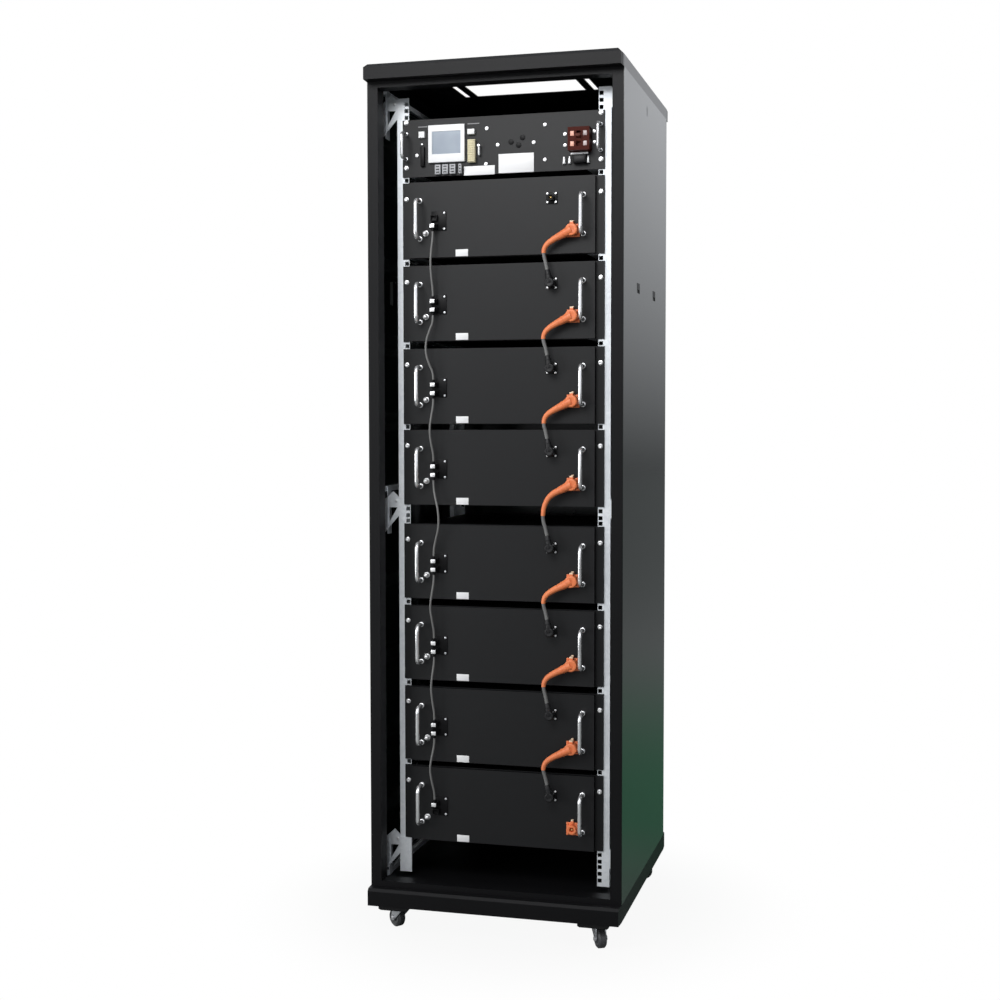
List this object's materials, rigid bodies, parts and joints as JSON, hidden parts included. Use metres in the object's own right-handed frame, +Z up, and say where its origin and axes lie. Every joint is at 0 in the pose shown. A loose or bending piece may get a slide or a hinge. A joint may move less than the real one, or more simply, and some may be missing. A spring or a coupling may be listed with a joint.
{
  "type": "battery storage unit",
  "caption": "Open-front black rack cabinet on swivel castors holding stacked battery modules with bow handles, linked by orange power and thin signal leads, under a control box",
  "frame": {"origin": "centre of the bounding box at floor level, between the castors", "axes": "X to the right seen from the open front, Y to the back, Z up"},
  "size_m": [0.6006, 0.67, 2.018],
  "materials": {
    "black_paint": "satin",
    "module_paint": "satin",
    "galvanised": "satin",
    "plated_screw": "polished",
    "chrome": "polished",
    "aluminium": "satin",
    "copper_bar": "satin",
    "board": "matte",
    "black_plastic": "matte",
    "orange_plastic": "satin",
    "power_lead": "matte",
    "signal_lead": "matte",
    "castor_tread": "matte",
    "smoked_plastic": "gloss",
    "white_plastic": "satin"
  },
  "bodies": {
    "cabinet": {"base_plinth": "black_paint", "front_frame": "black_paint", "rear_frame": "black_paint", "depth_beams": "galvanised", "top_cover": "black_paint", "side_panel_left": "black_paint", "side_panel_right": "black_paint", "rack_rails": "galvanised", "rail_brackets": "galvanised", "module_runners": "galvanised", "castor_blocks": "black_plastic", "ear_screws": "plated_screw", "module_cases": "module_paint", "module_covers": "module_paint", "module_fronts": "module_paint", "battery_cells": "aluminium", "busbars": "copper_bar", "monitor_boards": "board", "handles": "chrome", "positive_sockets": "orange_plastic", "negative_sockets": "black_plastic", "positive_plugs": "orange_plastic", "negative_plugs": "black_plastic", "signal_ports": "black_plastic", "signal_plugs": "black_plastic", "earth_studs": "chrome", "control_box_case": "module_paint", "panel_meter": "white_plastic", "breaker_body": "smoked_plastic", "control_fittings": "white_plastic", "power_link_1": "power_lead", "power_link_2": "power_lead", "power_link_3": "power_lead", "power_link_4": "power_lead", "power_link_5": "power_lead", "power_link_6": "power_lead", "power_link_7": "power_lead", "signal_lead_1": "signal_lead", "signal_lead_2": "signal_lead", "signal_lead_3": "signal_lead", "signal_lead_4": "signal_lead", "signal_lead_5": "signal_lead", "signal_lead_6": "signal_lead", "signal_lead_7": "signal_lead"},
    "rear_door": {"rear_door": "black_paint"},
    "rear_door_lock": {"rear_door_lock": "chrome"},
    "breaker_lever": {"breaker_lever": "smoked_plastic"},
    "control_button": {"control_button": "white_plastic"},
    "side_latch_left_front": {"side_latch_left_front": "black_plastic"},
    "side_latch_left_back": {"side_latch_left_back": "black_plastic"},
    "side_latch_right_front": {"side_latch_right_front": "black_plastic"},
    "side_latch_right_back": {"side_latch_right_back": "black_plastic"},
    "castor_fork_front_left": {"castor_fork_front_left": "galvanised"},
    "castor_wheel_front_left": {"castor_wheel_front_left": "castor_tread"},
    "castor_fork_front_right": {"castor_fork_front_right": "galvanised"},
    "castor_wheel_front_right": {"castor_wheel_front_right": "castor_tread"},
    "castor_fork_rear_left": {"castor_fork_rear_left": "galvanised"},
    "castor_wheel_rear_left": {"castor_wheel_rear_left": "castor_tread"},
    "castor_fork_rear_right": {"castor_fork_rear_right": "galvanised"},
    "castor_wheel_rear_right": {"castor_wheel_rear_right": "castor_tread"}
  },
  "joints": [
    {"name": "rear_door_hinge", "type": "hinge", "parent": "cabinet", "child": "rear_door", "pos_m": [0.284, 0.32, 1.0465], "axis": [0, 0, -1], "range_deg": [0, 120]},
    {"name": "rear_door_lock_turn", "type": "hinge", "parent": "rear_door", "child": "rear_door_lock", "pos_m": [-0.258, 0.32, 1.03], "axis": [0, -1, 0], "range_deg": [0, 90]},
    {"name": "breaker_lever_tip", "type": "hinge", "parent": "cabinet", "child": "breaker_lever", "pos_m": [0.1855, -0.241, 1.84203], "axis": [1, 0, 0], "range_deg": [0, 40]},
    {"name": "control_button_press", "type": "slide", "parent": "cabinet", "child": "control_button", "axis": [0, 1, 0], "range_m": [0, 0.003], "stiffness_N_per_m": 400},
    {"name": "side_latch_left_front_slide", "type": "slide", "parent": "cabinet", "child": "side_latch_left_front", "axis": [0, 0, -1], "range_m": [0, 0.008], "stiffness_N_per_m": 200, "springref_m": -0.002},
    {"name": "side_latch_left_back_slide", "type": "slide", "parent": "cabinet", "child": "side_latch_left_back", "axis": [0, 0, -1], "range_m": [0, 0.008], "stiffness_N_per_m": 200, "springref_m": -0.002},
    {"name": "side_latch_right_front_slide", "type": "slide", "parent": "cabinet", "child": "side_latch_right_front", "axis": [0, 0, -1], "range_m": [0, 0.008], "stiffness_N_per_m": 200, "springref_m": -0.002},
    {"name": "side_latch_right_back_slide", "type": "slide", "parent": "cabinet", "child": "side_latch_right_back", "axis": [0, 0, -1], "range_m": [0, 0.008], "stiffness_N_per_m": 200, "springref_m": -0.002},
    {"name": "castor_swivel_front_left", "type": "hinge", "parent": "cabinet", "child": "castor_fork_front_left", "pos_m": [-0.238, -0.265, 0.06], "axis": [0, 0, 1], "continuous": true},
    {"name": "castor_roll_front_left", "type": "hinge", "parent": "castor_fork_front_left", "child": "castor_wheel_front_left", "pos_m": [-0.25193, -0.25525, 0.022], "axis": [-0.5736, -0.8192, 0], "continuous": true},
    {"name": "castor_swivel_front_right", "type": "hinge", "parent": "cabinet", "child": "castor_fork_front_right", "pos_m": [0.238, -0.265, 0.06], "axis": [0, 0, 1], "continuous": true},
    {"name": "castor_roll_front_right", "type": "hinge", "parent": "castor_fork_front_right", "child": "castor_wheel_front_right", "pos_m": [0.2465, -0.27972, 0.022], "axis": [0.866, 0.5, 0], "continuous": true},
    {"name": "castor_swivel_rear_left", "type": "hinge", "parent": "cabinet", "child": "castor_fork_rear_left", "pos_m": [-0.238, 0.265, 0.06], "axis": [0, 0, 1], "continuous": true},
    {"name": "castor_roll_rear_left", "type": "hinge", "parent": "castor_fork_rear_left", "child": "castor_wheel_rear_left", "pos_m": [-0.25397, 0.27081, 0.022], "axis": [-0.342, -0.9397, 0], "continuous": true},
    {"name": "castor_swivel_rear_right", "type": "hinge", "parent": "cabinet", "child": "castor_fork_rear_right", "pos_m": [0.238, 0.265, 0.06], "axis": [0, 0, 1], "continuous": true},
    {"name": "castor_roll_rear_right", "type": "hinge", "parent": "castor_fork_rear_right", "child": "castor_wheel_rear_right", "pos_m": [0.25474, 0.26795, 0.022], "axis": [-0.1736, 0.9848, 0], "continuous": true}
  ]
}
